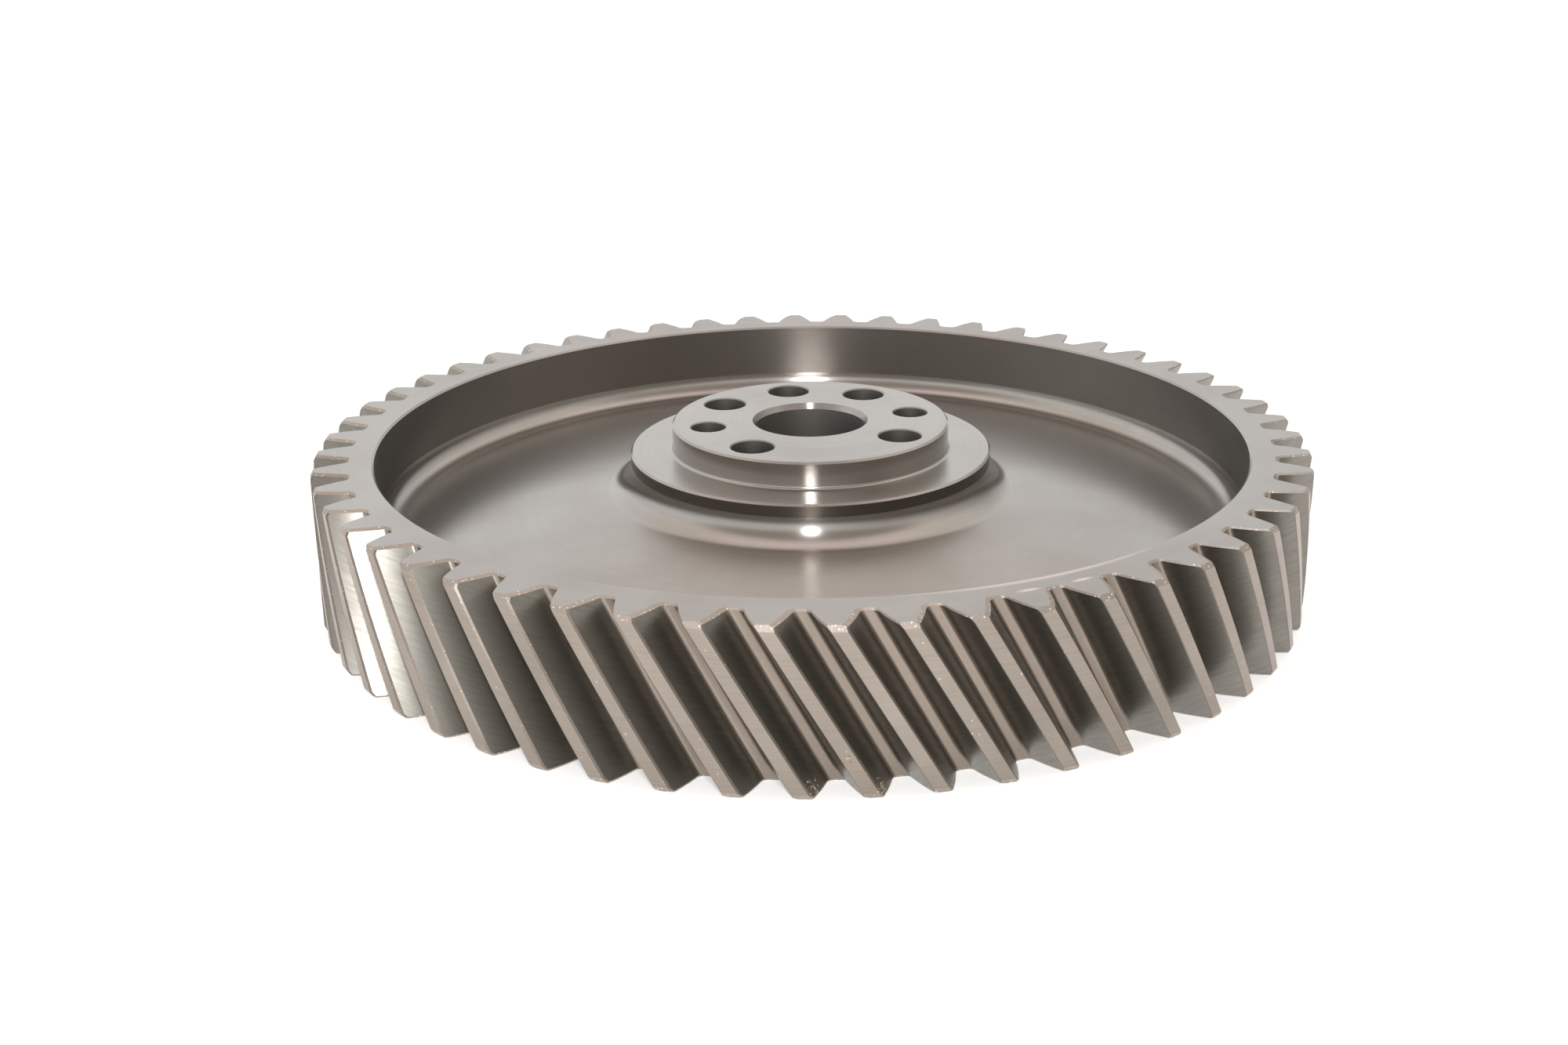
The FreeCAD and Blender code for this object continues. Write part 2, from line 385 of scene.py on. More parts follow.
@dataclass
class HubHoles:
    """The holes round the hub: equal places on one circle, the one on -Y left undrilled."""

    circle_diameter: float = 54.0
    places: int = 8
    large: tuple[int, ...] = (1, 3, 4, 5, 7)
    small: tuple[int, ...] = (2, 6)
    large_diameter: float = 11.0
    small_diameter: float = 9.0
    edge_break: float = 0.3
    segments: int = 48

    def each(self) -> list[tuple[Vector, float]]:
        """Goes round the drilled places.

        Returns:
            Axis and radius of every hole.
        """
        made = []
        for place in sorted(self.large + self.small):
            diameter = self.large_diameter if place in self.large else self.small_diameter
            axis = polar(self.circle_diameter / 2, 2 * math.pi * place / self.places)
            made.append((axis, diameter / 2))
        return made


@dataclass
class CamshaftGear:
    """The whole gear as one closed mesh.

    The fields that end in rise tell walls, fillets and faces apart: a face's rise is 0 where it
    stands upright and 1 where it lies level.
    """

    teeth: ToothForm = field(default_factory=ToothForm)
    holes: HubHoles = field(default_factory=HubHoles)
    rim_bore_radius: float = 112.5
    rim_fillet: float = 5.5
    web_slope: float = 8.0
    web_height: float = 27.3
    web_thickness: float = 11.0
    hub_fillet: float = 7.0
    back_fillet: float = 4.0
    back_hub_radius: float = 46.0
    flange_radius: float = 47.0
    flange_height: float = 36.7
    pilot_radius: float = 36.0
    pilot_height: float = 43.7
    bore_radius: float = 14.25
    lead_in_width: float = 0.8
    lead_in_depth: float = 1.5
    edge_break: float = 0.5
    pilot_fillet: float = 0.9
    wall_slack: float = 0.1
    wall_rise: float = 0.05
    fillet_rise: float = 0.985
    bore_wall_rise: float = 0.3
    lead_in_rise: float = 0.9
    smooth_angle: float = 13.5
    weld_distance: float = 0.005
    loop_slack: float = 0.01

    def web_top(self, radius: float) -> float:
        """Height of the web's upper side at a radius."""
        fall = math.tan(math.radians(self.web_slope))
        return self.web_height - (radius - self.flange_radius) * fall

    def upper_outline(self) -> list[tuple[float, float]]:
        """From the rim's upper inner edge over the web to the flange's upper edge.

        Returns:
            (radius, height) of each ring.
        """
        rim, flange, nick = self.rim_bore_radius, self.flange_radius, self.edge_break
        return round_corners(
            [
                (rim + nick, self.teeth.width),
                (rim, self.teeth.width - nick),
                (rim, self.web_top(rim), self.rim_fillet),
                (flange, self.web_top(flange), self.hub_fillet),
                (flange, self.flange_height - nick),
            ]
        )

    def hub_outline(self) -> list[tuple[float, float]]:
        """From the flange's upper edge over its face to the pilot's face.

        Returns:
            (radius, height) of each ring.
        """
        flange, pilot, nick = self.flange_radius, self.pilot_radius, self.edge_break
        return round_corners(
            [
                (flange, self.flange_height - nick),
                (flange - nick, self.flange_height),
                (pilot, self.flange_height, self.pilot_fillet),
                (pilot, self.pilot_height - nick),
                (pilot - nick, self.pilot_height),
            ]
        )

    def back_outline(self) -> list[tuple[float, float]]:
        """From the rim's lower inner edge over the recess to the hub's back face.

        Returns:
            (radius, height) of each ring.
        """
        rim, hub, nick = self.rim_bore_radius, self.back_hub_radius, self.edge_break
        return round_corners(
            [
                (rim + nick, 0.0),
                (rim, nick),
                (rim, self.web_top(rim) - self.web_thickness, self.back_fillet),
                (hub, self.web_top(hub) - self.web_thickness, self.back_fillet),
                (hub, nick),
                (hub - nick, 0.0),
            ]
        )

    def bore_outline(self) -> list[tuple[float, float]]:
        """Down the bore, from its lead-in to its lower edge.

        Returns:
            (radius, height) of each ring.
        """
        bore, nick = self.bore_radius, self.edge_break
        return [
            (bore + self.lead_in_width, self.pilot_height),
            (bore, self.pilot_height - self.lead_in_depth),
            (bore, nick),
            (bore + nick, 0.0),
        ]

    def hole_outline(self, radius: float) -> list[tuple[float, float]]:
        """Down one hub hole, with its edges broken.

        Args:
            radius: the hole's radius.

        Returns:
            (radius, height) of each ring, the radius from the hole's own axis.
        """
        nick = self.holes.edge_break
        return [
            (radius + nick, self.pilot_height),
            (radius, self.pilot_height - nick),
            (radius, nick),
            (radius + nick, 0.0),
        ]

    def model_teeth(self, finishes: dict[Surface, Material]) -> Piece:
        """Wraps a grid onto one tooth and copies it round the axis.

        Args:
            finishes: material of each kind of surface.

        Returns:
            The toothed skin of the rim, open at both ends.
        """
        rows = self.teeth.rows()
        outlines = [self.teeth.outline(tip, left, right) for _, tip, left, right in rows]
        across, up = len(outlines[0]) - 1, len(rows) - 1
        bpy.ops.object.select_all(action="DESELECT")
        bpy.ops.mesh.primitive_grid_add(x_subdivisions=across, y_subdivisions=up, size=2.0)
        skin = bpy.context.object
        skin.name = "tooth_skin"
        for surface in Surface:
            skin.data.materials.append(finishes[surface])
        kinds = list(Surface)
        # The grid runs from -1 to 1 both ways, so a place on it tells its column and its row.
        for face in skin.data.polygons:
            column = int((face.center.x + 1) / 2 * across)
            row = int((face.center.y + 1) / 2 * up)
            face.material_index = kinds.index(self.teeth.surface_at(column, row))
        for vertex in skin.data.vertices:
            column = round((vertex.co.x + 1) / 2 * across)
            row = round((vertex.co.y + 1) / 2 * up)
            height = rows[row][0]
            turn = Matrix.Rotation(-height * self.teeth.turn_per_mm, 3, "Z")
            point = turn @ outlines[row][column]
            vertex.co = (point.x, point.y, height)
        only(skin)
        bpy.ops.object.mode_set(mode="EDIT")
        bpy.ops.mesh.select_all(action="SELECT")
        copies = self.teeth.teeth - 1
        bpy.ops.mesh.spin(
            steps=copies,
            dupli=True,
            angle=2 * math.pi * copies / self.teeth.teeth,
            center=ORIGIN,
            axis=(0.0, 0.0, 1.0),
        )
        bpy.ops.object.mode_set(mode="OBJECT")
        return skin

    def close_face(self, piece: Piece, height: float, inner: float, outer: float) -> None:
        """Fills a flat face between its open loops.

        Args:
            piece: the gear so far.
            height: where the face lies.
            inner: smallest radius that its loops reach.
            outer: largest radius that its loops reach.
        """
        only(piece)
        bpy.ops.object.mode_set(mode="EDIT")
        bpy.ops.mesh.select_mode(type="EDGE")
        bpy.ops.mesh.select_all(action="DESELECT")
        mesh = bmesh.from_edit_mesh(piece.data)
        slack = self.loop_slack
        for edge in mesh.edges:
            ends = [v.co for v in edge.verts]
            flat = all(abs(p.z - height) < slack for p in ends)
            near = all(inner - slack < math.hypot(p.x, p.y) < outer + slack for p in ends)
            if edge.is_boundary and flat and near:
                edge.select_set(True)
        mesh.select_flush_mode()
        bmesh.update_edit_mesh(piece.data)
        bpy.ops.mesh.fill(use_beauty=True)
        bpy.ops.object.material_slot_assign()
        bpy.ops.object.mode_set(mode="OBJECT")

    def finish_at(self, radius: float, height: float, rise: float) -> Surface | None:
        """How a turned face was finished, where that differs from its shell.

        Args:
            radius: the face's distance from the axis.
            height: the face's height.
            rise: 0 for an upright face and 1 for a level one.

        Returns:
            The finish, or None to leave the face as it is.
        """
        # The back of the web, the rim and the flange keeps one finish.
        if height < self.web_top(radius) - self.web_thickness / 2 and radius > self.pilot_radius:
            return None
        if radius < self.bore_radius + self.lead_in_width:
            if rise < self.bore_wall_rise:
                return Surface.DRILLED
            return Surface.TURNED if rise < self.lead_in_rise else None
        # The rim's upright inner wall takes the colour that paints shade on it.
        if rise < self.wall_rise and abs(radius - self.rim_bore_radius) < self.wall_slack:
            return Surface.BORED
        # The flange's upright edge takes the colour that paints the shade under the flange.
        if rise < self.wall_rise and abs(radius - self.flange_radius) < self.wall_slack:
            return Surface.FLANGE_EDGE
        in_rim_fillet = self.rim_bore_radius - self.rim_fillet < radius < self.rim_bore_radius
        in_hub_fillet = self.flange_radius < radius < self.flange_radius + self.hub_fillet
        if self.wall_rise < rise < self.fillet_rise and (in_rim_fillet or in_hub_fillet):
            return Surface.FINE_TURNED
        return None

    def mark_walls(self, piece: Piece) -> None:
        """Gives the steep walls, the fillets and the bore their own finish.

        Args:
            piece: the whole gear.
        """
        kinds = list(Surface)
        for face in piece.data.polygons:
            radius = math.hypot(face.center.x, face.center.y)
            surface = self.finish_at(radius, face.center.z, abs(face.normal.z))
            if surface:
                face.material_index = kinds.index(surface)

    def build(self, finishes: dict[Surface, Material]) -> Piece:
        """Models the gear and hands it to the frame.

        Args:
            finishes: material of each kind of surface.

        Returns:
            The finished piece.
        """
        skin = self.model_teeth(finishes)
        turned, drilled = finishes[Surface.TURNED], finishes[Surface.DRILLED]
        fine = finishes[Surface.FINE_TURNED]
        shells = [
            turn_shell("upper_side", self.upper_outline(), turned),
            turn_shell("hub", self.hub_outline(), fine),
            turn_shell("back", self.back_outline(), turned),
            turn_shell("bore", self.bore_outline(), turned, segments=144),
        ]
        for axis, radius in self.holes.each():
            outline = self.hole_outline(radius)
            shells.append(turn_shell("hole", outline, drilled, axis, self.holes.segments))
        only(skin)
        for shell in shells:
            shell.select_set(True)
        bpy.ops.object.join()
        gear = bpy.context.object
        gear.name = "machined_gear"
        gear.data.name = "machined_gear"

        bpy.ops.object.mode_set(mode="EDIT")
        bpy.ops.mesh.select_all(action="SELECT")
        bpy.ops.mesh.remove_doubles(threshold=self.weld_distance)
        bpy.ops.object.mode_set(mode="OBJECT")
        gear.active_material_index = list(Surface).index(Surface.TURNED)
        rim_edge = self.rim_bore_radius + self.edge_break
        self.close_face(gear, self.teeth.width, rim_edge, self.teeth.tip)
        self.close_face(gear, 0.0, rim_edge, self.teeth.tip)
        gear.active_material_index = list(Surface).index(Surface.FINE_TURNED)
        self.close_face(gear, self.pilot_height, 0.0, self.pilot_radius)
        self.close_face(gear, 0.0, 0.0, self.back_hub_radius)

        self.mark_walls(gear)
        bpy.ops.object.mode_set(mode="EDIT")
        bpy.ops.mesh.select_all(action="SELECT")
        bpy.ops.mesh.normals_make_consistent(inside=False)
        bpy.ops.transform.resize(value=(MM, MM, MM), center_override=ORIGIN)
        bpy.ops.object.mode_set(mode="OBJECT")
        bpy.ops.object.shade_smooth_by_angle(angle=math.radians(self.smooth_angle))

        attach(gear, BODY)
        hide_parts(GEAR_NODE)
        return gear


class Grain(Enum):
    """Which way a tool left its marks."""

    ROUND_AXIS = "turned"
    ACROSS_FLANK = "hobbed"
    EVEN = "filed"


@dataclass(frozen=True)
class ScuffOrHighlight:
    """A stretch of steel worn bright, or a painted highlight, as a long ellipse bent round the axis.

    The azimuth counts from +X and is in degrees, like the half turn. The core is the share of the
    ellipse, from its middle outwards, that has the full strength.
    """

    radius: float
    height: float
    azimuth: float
    half_width: float
    half_turn: float
    strength: float
    half_height: float = 5.0
    core: float = 0.35

    def mask(self, tree: Tree, unrolled: Socket) -> Socket:
        """Draws the stretch, fading out towards its outline.

        Args:
            tree: the material's node tree.
            unrolled: distance from the axis, azimuth from +X in radians, and height.

        Returns:
            The mark's strength at its middle, down to 0 outside it.
        """
        middle = (self.radius, math.radians(self.azimuth), self.height)
        shrink = (1 / self.half_width, 1 / math.radians(self.half_turn), 1 / self.half_height)
        offset = add_node(tree, "ShaderNodeVectorMath", {0: unrolled, 1: middle}, operation="SUBTRACT")
        share = add_node(
            tree, "ShaderNodeVectorMath", {0: offset.outputs[0], 1: shrink}, operation="MULTIPLY"
        )
        reach = add_node(tree, "ShaderNodeVectorMath", {0: share.outputs[0]}, operation="LENGTH")
        fade = {
            "Value": reach.outputs["Value"],
            "From Min": self.core,
            "To Min": self.strength,
            "To Max": 0.0,
        }
        return add_node(tree, "ShaderNodeMapRange", fade).outputs[0]


@dataclass(frozen=True)
class MachinedSteel:
    """Bare alloy steel straight off the machine, under a film of thin oil.

    The oil and the fine tool marks give the eye a satin, slightly warm grey metal. The real marks
    are about 0.2 mm apart, too fine to show, so the drawn ones are 0.45 to 2.2 mm apart and
    shallow. Spacings, depths and reaches are in millimetres, and the film's scale is per
    millimetre. The rust's density is its crumbs' share at the middle of a rusty place; above 1 it
    keeps them thick some way out.
    """

    colour: str
    shade: str
    roughness: float
    roughness_spread: float = 0.015
    anisotropy: float = 0.0
    anisotropy_turn: float = 0.25
    grain: Grain = Grain.ROUND_AXIS
    cut_slope: float = 0.6
    cut_drift: float = 0.12
    mark_spacing: float = 0.9
    mark_detail: float = 2.0
    mark_depth: float = 0.0015
    mark_share: float = 0.35
    film_scale: float = 0.045
    film_detail: float = 4.0
    contrast: tuple[float, float] = (0.3, 0.7)
    speck_share: float = 0.0
    speck_spacing: float = 1.8
    speck_size: float = 0.13
    # Near-white by default, which paints glints on the filed edges.
    pit_or_glint: str = "f2ece6"
    scuffs_and_highlight: tuple[ScuffOrHighlight, ...] = ()
    scuffed_or_highlit: str = "dccfc7"
    rust: str = "e2d0ae"
    old_rust: str = "4f3824"
    rust_spots: tuple[tuple[float, float, float], ...] = ()
    rust_reach: float = 2.7
    rust_density: float = 1.2
    rust_spacing: float = 0.5
    rust_crumb: float = 0.5
    rust_roughness: float = 0.85

    def radius_of(self, tree: Tree, place: Socket) -> Socket:
        """Measures how far from the gear's axis a place is.

        Args:
            tree: the material's node tree.
            place: position in millimetres.

        Returns:
            The distance in millimetres.
        """
        level = add_node(tree, "ShaderNodeVectorMath", {0: place, 1: (1.0, 1.0, 0.0)}, operation="MULTIPLY")
        length = add_node(tree, "ShaderNodeVectorMath", {0: level.outputs[0]}, operation="LENGTH")
        return length.outputs["Value"]

    def marks(self, tree: Tree, place: Socket) -> Socket:
        """Draws the tool marks as noise that runs along them.

        Args:
            tree: the material's node tree.
            place: position in millimetres.

        Returns:
            A height from 0 to 1.
        """
        height = add_node(tree, "ShaderNodeSeparateXYZ", {0: place}).outputs[2]
        radius = self.radius_of(tree, place)
        if self.grain is Grain.EVEN:
            along = place
        elif self.grain is Grain.ROUND_AXIS:
            along = add_node(tree, "ShaderNodeCombineXYZ", {0: radius, 1: height}).outputs[0]
        else:
            slant = add_node(
                tree,
                "ShaderNodeMath",
                {0: radius, 1: -self.cut_slope, 2: height},
                operation="MULTIPLY_ADD",
            )
            across = add_node(tree, "ShaderNodeCombineXYZ", {2: slant.outputs[0]}).outputs[0]
            shrink = (self.cut_drift, self.cut_drift, 0.0)
            drift = add_node(tree, "ShaderNodeVectorMath", {0: place, 1: shrink}, operation="MULTIPLY")
            along = add_node(tree, "ShaderNodeVectorMath", {0: across, 1: drift.outputs[0]}).outputs[0]
        grain = {"Vector": along, "Scale": 1 / self.mark_spacing, "Detail": self.mark_detail}
        return add_node(tree, "ShaderNodeTexNoise", grain).outputs["Fac"]

    def dots(
        self, tree: Tree, place: Socket, spacing: float, size: float, share: float | Socket
    ) -> tuple[Socket, Socket]:
        """Scatters small dots.

        Args:
            tree: the material's node tree.
            place: position in millimetres.
            spacing: mean distance between two places where a dot can lie, in millimetres.
            size: radius of a dot, as a share of the spacing.
            share: how many of those places have one: none at 0, and all of them from 1 up.

        Returns:
            A mask that is 1 on a dot, and a number that differs from dot to dot.
        """
        cells = add_node(tree, "ShaderNodeTexVoronoi", {"Vector": place, "Scale": 1 / spacing})
        near = add_node(
            tree, "ShaderNodeMath", {0: cells.outputs["Distance"], 1: size}, operation="LESS_THAN"
        )
        chance = add_node(tree, "ShaderNodeSeparateColor", {0: cells.outputs["Color"]}).outputs
        chosen = add_node(tree, "ShaderNodeMath", {0: chance[0], 1: share}, operation="LESS_THAN")
        mask = add_node(
            tree, "ShaderNodeMath", {0: near.outputs[0], 1: chosen.outputs[0]}, operation="MULTIPLY"
        )
        return mask.outputs[0], chance[1]

    def rust_crumbs(self, tree: Tree, place: Socket) -> tuple[Socket, Socket]:
        """Crumbs of rust, thick at a few places and thinner round them.

        Args:
            tree: the material's node tree.
            place: position in millimetres.

        Returns:
            A mask that is 1 on a crumb, and the crumb's colour.
        """
        gaps = []
        for spot in self.rust_spots:
            gap = add_node(tree, "ShaderNodeVectorMath", {0: place, 1: spot}, operation="DISTANCE")
            gaps.append(gap.outputs["Value"])
        nearest = gaps[0]
        for gap in gaps[1:]:
            nearest = add_node(tree, "ShaderNodeMath", {0: nearest, 1: gap}, operation="MINIMUM").outputs[0]
        thinning = {
            "Value": nearest,
            "From Max": self.rust_reach,
            "To Min": self.rust_density,
            "To Max": 0.0,
        }
        share = add_node(tree, "ShaderNodeMapRange", thinning).outputs[0]
        mask, tone = self.dots(tree, place, self.rust_spacing, self.rust_crumb, share)
        tones = {0: tone, 6: linear(self.rust), 7: linear(self.old_rust)}
        return mask, add_node(tree, "ShaderNodeMix", tones, data_type="RGBA").outputs[2]

    def rubbed_or_highlit(self, tree: Tree, place: Socket) -> Socket:
        """Lays the scratches worn bright and the painted highlight on one mask.

        Args:
            tree: the material's node tree.
            place: position in millimetres.

        Returns:
            A mask from 0 to 1.
        """
        parts = add_node(tree, "ShaderNodeSeparateXYZ", {0: place}).outputs
        radius = self.radius_of(tree, place)
        azimuth = add_node(tree, "ShaderNodeMath", {0: parts[1], 1: parts[0]}, operation="ARCTAN2")
        unrolled = add_node(
            tree, "ShaderNodeCombineXYZ", {0: radius, 1: azimuth.outputs[0], 2: parts[2]}
        ).outputs[0]
        masks = [scuff.mask(tree, unrolled) for scuff in self.scuffs_and_highlight]
        rubbed_or_highlit = masks[0]
        for mask in masks[1:]:
            rubbed_or_highlit = add_node(tree, "ShaderNodeMath", {0: rubbed_or_highlit, 1: mask}, operation="MAXIMUM").outputs[0]
        return rubbed_or_highlit

    def make(self, name: str) -> Material:
        """Builds the material.

        Args:
            name: the material's name.

        Returns:
            A node material on object coordinates.
        """
        material = bpy.data.materials.new(name)
        material.use_nodes = True
        tree = material.node_tree
        shader = tree.nodes["Principled BSDF"]
        shader.inputs["Metallic"].default_value = 1.0
        coordinates = add_node(tree, "ShaderNodeTexCoord").outputs["Object"]
        place = add_node(
            tree, "ShaderNodeVectorMath", {0: coordinates, "Scale": 1 / MM}, operation="SCALE"
        ).outputs[0]

        marks = self.marks(tree, place)
        film = add_node(
            tree,
            "ShaderNodeTexNoise",
            {"Vector": place, "Scale": self.film_scale, "Detail": self.film_detail},
        ).outputs["Fac"]
        mixed = add_node(tree, "ShaderNodeMix", {0: self.mark_share, 2: film, 3: marks}).outputs[0]
        low, high = self.contrast
        wear = add_node(
            tree, "ShaderNodeMapRange", {"Value": mixed, "From Min": low, "From Max": high}
        ).outputs[0]
        shades = {0: wear, 6: linear(self.colour), 7: linear(self.shade)}
        colour = add_node(tree, "ShaderNodeMix", shades, data_type="RGBA").outputs[2]
        spread = {
            "Value": wear,
            "To Min": self.roughness - self.roughness_spread,
            "To Max": self.roughness + self.roughness_spread,
        }
        rough = add_node(tree, "ShaderNodeMapRange", spread).outputs[0]

        layers: list[tuple[Socket, Socket | tuple[float, ...]]] = []
        # Dots: pale pits on the tooth tips, and near-white painted glints on the filed edges.
        if self.speck_share:
            pits_or_glints, _ = self.dots(tree, place, self.speck_spacing, self.speck_size, self.speck_share)
            layers.append((pits_or_glints, linear(self.pit_or_glint)))
        # Scratches worn bright, and one painted highlight on the rim's inner edge.
        if self.scuffs_and_highlight:
            layers.append((self.rubbed_or_highlit(tree, place), linear(self.scuffed_or_highlit)))
        if self.rust_spots:
            rusted, rust = self.rust_crumbs(tree, place)
            layers.append((rusted, rust))
            roughened = {0: rusted, 2: rough, 3: self.rust_roughness}
            rough = add_node(tree, "ShaderNodeMix", roughened).outputs[0]
            metal = add_node(tree, "ShaderNodeMath", {0: 1.0, 1: rusted}, operation="SUBTRACT")
            tree.links.new(metal.outputs[0], shader.inputs["Metallic"])
        for mask, over in layers:
            laid = {0: mask, 6: colour, 7: over}
            colour = add_node(tree, "ShaderNodeMix", laid, data_type="RGBA").outputs[2]
        tree.links.new(colour, shader.inputs["Base Color"])
        tree.links.new(rough, shader.inputs["Roughness"])
        bump = add_node(tree, "ShaderNodeBump", {"Height": marks, "Distance": self.mark_depth * MM})
        tree.links.new(bump.outputs["Normal"], shader.inputs["Normal"])
        if self.anisotropy:
            shader.inputs["Anisotropic"].default_value = self.anisotropy
            shader.inputs["Anisotropic Rotation"].default_value = self.anisotropy_turn
            tangent = add_node(tree, "ShaderNodeTangent", direction_type="RADIAL", axis="Z")
            tree.links.new(tangent.outputs["Tangent"], shader.inputs["Tangent"])
        return material


@dataclass(frozen=True)
class Studio:
    """White paper in a pale room, with one small soft box above the viewer.

    Azimuths run in degrees from +Y towards +X, lengths here are metres. The two sides give the
    room's colour by the height of the way looked along, from 0 level to 1 straight up. A spread
    says over which stretch a change comes in, of that height or of how far a way faces an azimuth.
    """

    floor_size: float = 40.0
    paper: float = 0.8
    paper_roughness: float = 0.9
    paper_glow: float = 0.45
    box_azimuth: float = -167.5
    box_elevation: float = 33.2
    box_distance: float = 0.74
    box_diameter: float = 0.065
    box_strength: float = 128.0
    dim_azimuth: float = 100.0
    dim_spread: tuple[float, float] = (0.05, 0.8)
    viewer_azimuth: float = -167.5
    viewer_spread: tuple[float, float] = (0.0, 0.45)
    ceiling_spread: tuple[float, float] = (0.4, 0.65)
    bright_side: tuple[tuple[float, str], ...] = (
        (0.0, "ededed"),
        (0.45, "ededed"),
        (0.78, "e9e0d6"),
        (0.9, "fff0ec"),
    )
    dim_side: tuple[tuple[float, str], ...] = (
        (0.02, "ededed"),
        (0.06, "848280"),
        (0.26, "b6b4b0"),
        (0.42, "d2cfca"),
        (0.57, "e6e2dc"),
        (0.78, "e9e0d6"),
        (0.9, "fff0ec"),
    )
    room_strength: float = 1.3
    ceiling: str = "a39b95"

    def lay_floor(self) -> None:
        """Lays the paper, white to the eye and in the steel, and shaded under the gear."""
        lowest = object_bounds()[0].z
        bpy.ops.object.select_all(action="DESELECT")
        bpy.ops.mesh.primitive_plane_add(size=self.floor_size, location=(0.0, 0.0, lowest))
        floor = bpy.context.object
        floor.name = "floor"
        paper = bpy.data.materials.new("white_paper")
        paper.use_nodes = True
        tree = paper.node_tree
        shader = tree.nodes["Principled BSDF"]
        shader.inputs["Base Color"].default_value = (self.paper, self.paper, self.paper, 1.0)
        shader.inputs["Roughness"].default_value = self.paper_roughness
        shader.inputs["Specular IOR Level"].default_value = 0.0
        shader.inputs["Emission Color"].default_value = (1.0, 1.0, 1.0, 1.0)
        rays = add_node(tree, "ShaderNodeLightPath").outputs
        seen = rays["Is Camera Ray"]
        for kind in ("Is Glossy Ray", "Is Transmission Ray"):
            seen = add_node(tree, "ShaderNodeMath", {0: seen, 1: rays[kind]}, operation="ADD").outputs[0]
        glow = add_node(tree, "ShaderNodeMath", {0: seen, 1: self.paper_glow}, operation="MULTIPLY")
        tree.links.new(glow.outputs[0], shader.inputs["Emission Strength"])
        floor.data.materials.append(paper)
        floor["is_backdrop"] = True

    def share_of(self, tree: Tree, value: Socket, spread: tuple[float, float]) -> Socket:
        """Turns a number into a share that comes in softly.

        Args:
            tree: the world's node tree.
            value: the number.
            spread: where the share leaves 0 and where it reaches 1.

        Returns:
            A share from 0 to 1.
        """
        limits = {"Value": value, "From Min": spread[0], "From Max": spread[1]}
        return add_node(tree, "ShaderNodeMapRange", limits, interpolation_type="SMOOTHSTEP").outputs[0]

    def facing(
        self, tree: Tree, way: Socket, azimuth: float, spread: tuple[float, float]
    ) -> Socket:
        """Tells how far a way leads towards an azimuth.

        Args:
            tree: the world's node tree.
            way: the way looked along.
            azimuth: degrees from +Y towards +X.
            spread: how much it faces the azimuth where the share leaves 0 and where it reaches 1.

        Returns:
            A share from 0 to 1.
        """
        angle = math.radians(azimuth)
        ends = {0: way, 1: (math.sin(angle), math.cos(angle), 0.0)}
        dot = add_node(tree, "ShaderNodeVectorMath", ends, operation="DOT_PRODUCT").outputs["Value"]
        return self.share_of(tree, dot, spread)

    def light_room(self) -> None:
        """Makes the room: pale all round, dimmer on the right, darker overhead on the viewer's side."""
        world = bpy.data.worlds.new("pale_room")
        world.use_nodes = True
        tree = world.node_tree
        background = tree.nodes["Background"]
        way = add_node(tree, "ShaderNodeTexCoord").outputs["Generated"]
        height = add_node(tree, "ShaderNodeSeparateXYZ", {0: way}).outputs[2]
        sides = []
        for stops in (self.bright_side, self.dim_side):
            ramp = add_node(tree, "ShaderNodeValToRGB", {0: height})
            elements = ramp.color_ramp.elements
            elements.remove(elements[1])
            for i, (where, colour) in enumerate(stops):
                stop = elements[0] if i == 0 else elements.new(where)
                stop.position = where
                stop.color = linear(colour)
            sides.append(ramp.outputs[0])
        dim = self.facing(tree, way, self.dim_azimuth, self.dim_spread)
        walls = add_node(
            tree, "ShaderNodeMix", {0: dim, 6: sides[0], 7: sides[1]}, data_type="RGBA"
        ).outputs[2]
        near = self.facing(tree, way, self.viewer_azimuth, self.viewer_spread)
        high = self.share_of(tree, height, self.ceiling_spread)
        shaded = add_node(tree, "ShaderNodeMath", {0: near, 1: high}, operation="MULTIPLY").outputs[0]
        room = add_node(
            tree, "ShaderNodeMix", {0: shaded, 6: walls, 7: linear(self.ceiling)}, data_type="RGBA"
        )
        tree.links.new(room.outputs[2], background.inputs["Color"])
        background.inputs["Strength"].default_value = self.room_strength
        bpy.context.scene.world = world

    def hang_soft_box(self) -> None:
        """Hangs the soft box that draws the bright line down the hub and the rim."""
        azimuth, elevation = math.radians(self.box_azimuth), math.radians(self.box_elevation)
        level = Vector((math.sin(azimuth), math.cos(azimuth), 0.0)) * math.cos(elevation)
        place = (level + Vector((0.0, 0.0, math.sin(elevation)))) * self.box_distance
        data = bpy.data.lights.new("soft_box", "AREA")
        data.shape = "DISK"
        data.size = self.box_diameter
        data.energy = self.box_strength * math.pi * self.box_diameter**2
        box = bpy.data.objects.new("soft_box", data)
        bpy.context.scene.collection.objects.link(box)
        box.matrix_world = Matrix.Translation(place) @ place.to_track_quat("Z", "Y").to_matrix().to_4x4()

    def build(self) -> None:
        """Adds the floor, the room and the soft box."""
        self.lay_floor()
        self.light_room()
        self.hang_soft_box()


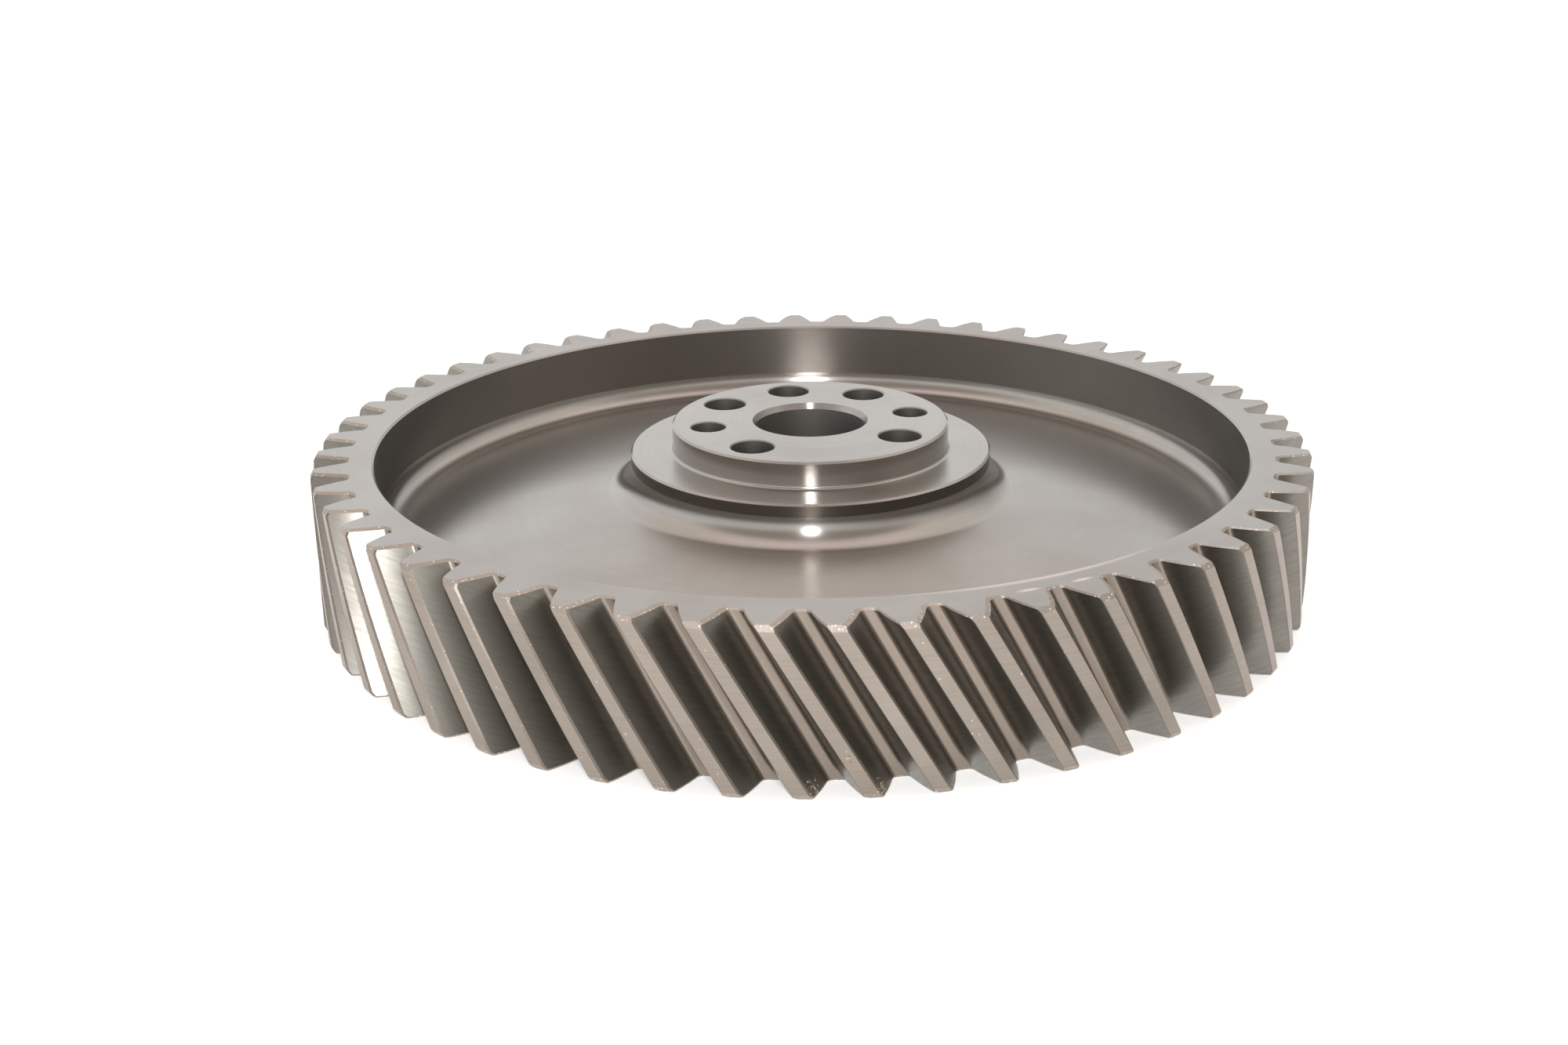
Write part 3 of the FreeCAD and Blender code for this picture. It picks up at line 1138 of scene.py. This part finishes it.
@dataclass(frozen=True)
class Viewpoint:
    """Where the camera stands, in metres, and how it is turned, in degrees, as in the photograph."""

    place: tuple[float, float, float] = (-0.10815, -0.4862, 0.1975)
    yaw: float = -11.718
    pitch: float = -20.119
    roll: float = -0.696
    lens: float = 45.743
    sensor: float = 36.0
    clip: tuple[float, float] = (0.01, 20.0)

    def build(self) -> None:
        """Adds the camera and makes it the scene's own."""
        data = bpy.data.cameras.new("photo_camera")
        data.lens = self.lens
        data.sensor_width = self.sensor
        data.clip_start, data.clip_end = self.clip
        camera = bpy.data.objects.new("photo_camera", data)
        bpy.context.scene.collection.objects.link(camera)
        yaw, pitch, roll = (math.radians(a) for a in (self.yaw, self.pitch, self.roll))
        turned = (
            Matrix.Rotation(yaw, 4, "Z")
            @ Matrix.Rotation(math.pi / 2 + pitch, 4, "X")
            @ Matrix.Rotation(roll, 4, "Z")
        )
        camera.matrix_world = Matrix.Translation(self.place) @ turned
        bpy.context.scene.camera = camera


# A painted highlight along the rim's inner edge at the front right, where its edge break catches the light,
# and two short scratches worn bright on its face.
RIM_SCUFFS_AND_HIGHLIGHT = (
    # Painted highlight of the lit edge break.
    ScuffOrHighlight(radius=113.2, height=39.5, azimuth=-76.5, half_width=1.5, half_turn=18.0, strength=0.75),
    # Two scratches worn bright.
    ScuffOrHighlight(radius=118.3, height=39.5, azimuth=-79.8, half_width=0.9, half_turn=1.7, strength=0.95),
    ScuffOrHighlight(radius=118.4, height=39.5, azimuth=-73.4, half_width=0.9, half_turn=1.6, strength=0.95),
)

# Rusty places, in millimetres: at the feet of two teeth, and one just off a tooth's tip, so that
# only its outskirts reach the steel.
RUST_SPOTS = ((-27.0, -122.8, 2.0), (-13.2, -125.6, 1.6), (-21.4, -128.3, 9.8))

FINISHES: dict[Surface, MachinedSteel] = {
    # Turned: rings too fine to see one by one, which stretch a highlight across themselves. The rim has a
    # painted highlight on its inner edge at the front right, and two scratches worn bright on its face.
    Surface.TURNED: MachinedSteel(
        colour="ada9a4",
        shade="a29c97",
        roughness=0.25,
        anisotropy=0.88,
        mark_spacing=2.2,
        mark_depth=0.0002,
        mark_share=0.2,
        scuffs_and_highlight=RIM_SCUFFS_AND_HIGHLIGHT,
    ),
    # Bored: the rim's inner wall is rougher than the web, so it throws a softer line; its darker colour is
    # painted shade on the upright wall.
    Surface.BORED: MachinedSteel(
        colour="837e79", shade="7a7570", roughness=0.33, anisotropy=0.9, mark_depth=0.0003
    ),
    # Flange edge: as the rim's inner wall, and darker still: painted shade for the shadow under the flange.
    Surface.FLANGE_EDGE: MachinedSteel(
        colour="6b655f", shade="625c56", roughness=0.33, anisotropy=0.9, mark_depth=0.0003
    ),
    # Finished to size: the hub's faces, the pilot and the web's fillets are brighter and throw a
    # sharper line.
    Surface.FINE_TURNED: MachinedSteel(
        colour="b0aca7", shade="a49f99", roughness=0.2, anisotropy=0.85, mark_depth=0.0003
    ),
    # Hobbed: darker and more neutral, partly the flanks' own tone and partly painted shade of the tooth
    # spaces, with slanting cutter marks.
    Surface.HOBBED: MachinedSteel(
        colour="95928b",
        shade="83807a",
        roughness=0.36,
        roughness_spread=0.03,
        grain=Grain.ACROSS_FLANK,
        mark_spacing=0.7,
        mark_depth=0.001,
        mark_share=0.6,
        rust_spots=RUST_SPOTS,
    ),
    # Roots: cut by the hob's tips, smoother than the flanks and a little paler and warmer.
    Surface.ROOT: MachinedSteel(
        colour="9f948a",
        shade="978c82",
        roughness=0.36,
        grain=Grain.EVEN,
        mark_depth=0.0004,
        rust_spots=RUST_SPOTS,
    ),
    # Tooth tips: the turned blank's skin, with fine lines round the axis and small pale pits.
    Surface.LAND: MachinedSteel(
        colour="a79e95",
        shade="90877e",
        roughness=0.34,
        mark_spacing=0.5,
        mark_share=0.4,
        speck_share=0.15,
        pit_or_glint="c8c0b7",
        rust_spots=RUST_SPOTS,
    ),
    # Tips' long edges: taken off with a file, dull, with near-white dots that are painted glints for small
    # bright burrs.
    Surface.TIP_EDGE: MachinedSteel(
        colour="8f867e",
        shade="7b736b",
        roughness=0.42,
        grain=Grain.EVEN,
        mark_spacing=0.45,
        mark_depth=0.02,
        speck_share=0.3,
        speck_spacing=0.7,
        rust_spots=RUST_SPOTS,
    ),
    # Drilled and reamed: the holes and the bore have duller walls, lit by what falls into them.
    Surface.DRILLED: MachinedSteel(colour="a19e9a", shade="969390", roughness=0.46),
    # Deburred by hand: fresh, uneven metal, with near-white dots that are painted glints for its sparkle.
    Surface.BROKEN_EDGE: MachinedSteel(
        colour="bdb4ab",
        shade="9f968d",
        roughness=0.6,
        grain=Grain.EVEN,
        mark_spacing=0.5,
        mark_depth=0.012,
        speck_share=0.3,
        speck_spacing=0.7,
        speck_size=0.26,
        rust_spots=RUST_SPOTS,
    ),
}


def main() -> None:
    """Builds the gear, the studio and the camera, and logs the gear's face count."""
    logging.basicConfig(level=logging.INFO, format="%(name)s: %(message)s")
    bpy.context.scene.view_settings.view_transform = "Standard"
    finishes = {surface: steel.make(surface.value) for surface, steel in FINISHES.items()}
    gear = CamshaftGear().build(finishes)
    log.info("%s: %d faces", gear.name, len(gear.data.polygons))
    Studio().build()
    Viewpoint().build()


if __name__ == "__main__":
    main()
